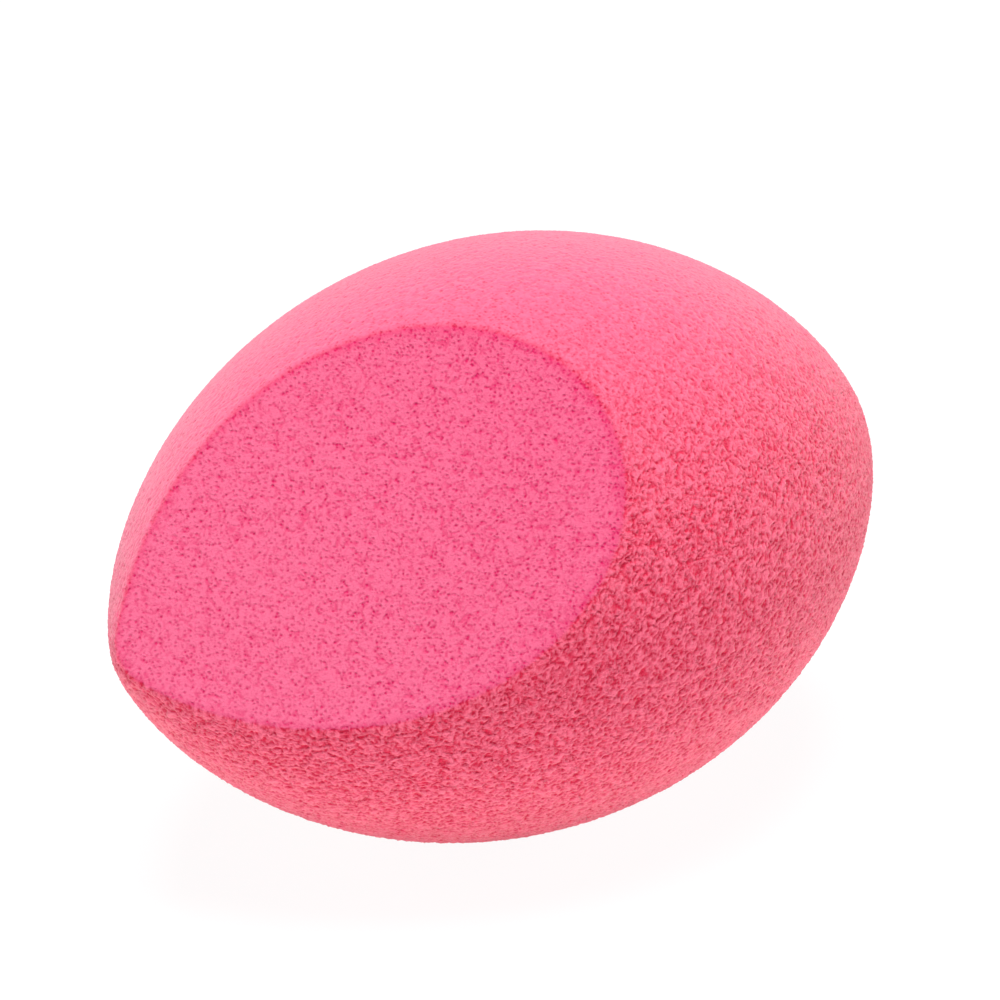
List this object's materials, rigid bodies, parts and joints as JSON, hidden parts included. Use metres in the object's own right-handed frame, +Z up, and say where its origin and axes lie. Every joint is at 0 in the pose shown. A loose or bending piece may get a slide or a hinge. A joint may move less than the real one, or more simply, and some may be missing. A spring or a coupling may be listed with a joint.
{
  "type": "makeup sponge",
  "caption": "Olive-shaped foam sponge for blending makeup, drawn in to a blunt tip, with a flat face cut slantwise at its heel for pressing and smoothing.",
  "frame": {"origin": "middle of the small flat that the sponge lies on, under its widest place", "axes": "+X along the long axis towards the tip, +Z up from the surface it lies on, and the cut face looks towards -X, -Y and +Z"},
  "size_m": [0.06, 0.04, 0.0395],
  "materials": {
    "pink_foam": "matte, finely porous soft foam"
  },
  "bodies": {
    "root": {"foam_body": "pink_foam"}
  },
  "joints": []
}
